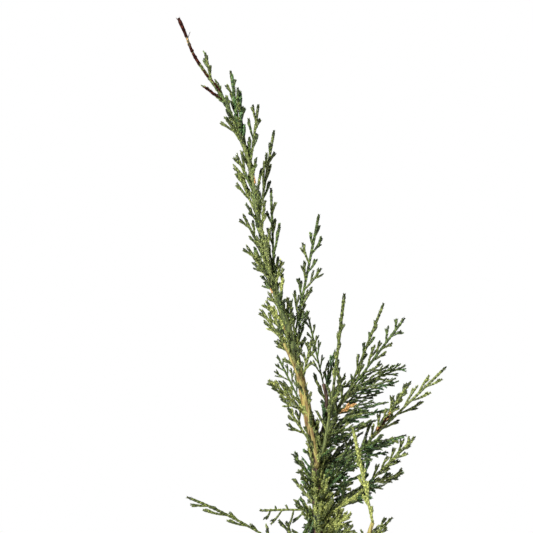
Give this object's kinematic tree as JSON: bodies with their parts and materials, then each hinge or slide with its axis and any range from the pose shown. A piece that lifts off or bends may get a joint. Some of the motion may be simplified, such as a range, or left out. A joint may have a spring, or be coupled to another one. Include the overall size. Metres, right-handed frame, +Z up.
{
  "type": "juniper shrub",
  "caption": "Young upright juniper shrub with a leaning leader, tapering boughs and open feathery sprays of scale foliage, rooted in the ground.",
  "frame": {"origin": "middle of the flat cut under the trunk, at ground level", "axes": "+Z up along the plant's height, +X towards the side with the widest fans, +Y towards the back"},
  "size_m": [0.186, 0.1928, 0.5353],
  "materials": {
    "bark": "rough fissured brown bark",
    "young_bark": "thin tan to green bark of young shoots",
    "foliage": "matte green scale leaves pressed to thin cords"
  },
  "bodies": {
    "root": {"trunk": "bark", "stem_front": "young_bark", "stem_second": "young_bark", "bough_whip": "young_bark", "bough_right_upper": "young_bark", "bough_right_middle": "young_bark", "bough_right_lower": "young_bark", "bough_front_whip": "young_bark", "bough_left_low": "young_bark", "bough_back_low": "young_bark", "bough_front_low": "young_bark", "spray_tip_right": "foliage", "spray_tip_left": "foliage", "spray_leader_plume": "foliage", "spray_leader_left": "foliage", "spray_leader_right": "foliage", "spray_neck_left": "foliage", "spray_neck_plume": "foliage", "spray_neck_left_low": "foliage", "spray_shoulder_left": "foliage", "spray_shoulder_plume": "foliage", "spray_shoulder_left_low": "foliage", "spray_shoulder_front": "foliage", "spray_shoulder_back": "foliage", "spray_tall_right": "foliage", "spray_left_tuft": "foliage", "spray_left_curl": "foliage", "spray_left_small": "foliage", "spray_inner_front": "foliage", "spray_front_stem": "foliage", "spray_second_stem": "foliage", "spray_second_side": "foliage", "spray_whip": "foliage", "spray_middle_back": "foliage", "spray_inner_back": "foliage", "spray_fan_upper": "foliage", "spray_fan_middle": "foliage", "spray_fan_lower": "foliage", "spray_arm_outer": "foliage", "spray_arm_inner": "foliage", "spray_reach_upper": "foliage", "spray_reach_lower": "foliage", "spray_front_whip": "foliage", "spray_dense_upper": "foliage", "spray_dense_middle": "foliage", "spray_dense_back": "foliage", "spray_left_low": "foliage", "spray_left_level": "foliage", "spray_foot_front": "foliage", "spray_foot_right": "foliage", "spray_right_low": "foliage", "spray_back_low": "foliage", "spray_front_low": "foliage", "spray_low_right_back": "foliage", "spray_low_left_back": "foliage", "spray_low_right": "foliage", "spray_low_front_right": "foliage", "spray_low_front": "foliage", "spray_low_back": "foliage", "spray_low_left": "foliage"}
  },
  "joints": []
}
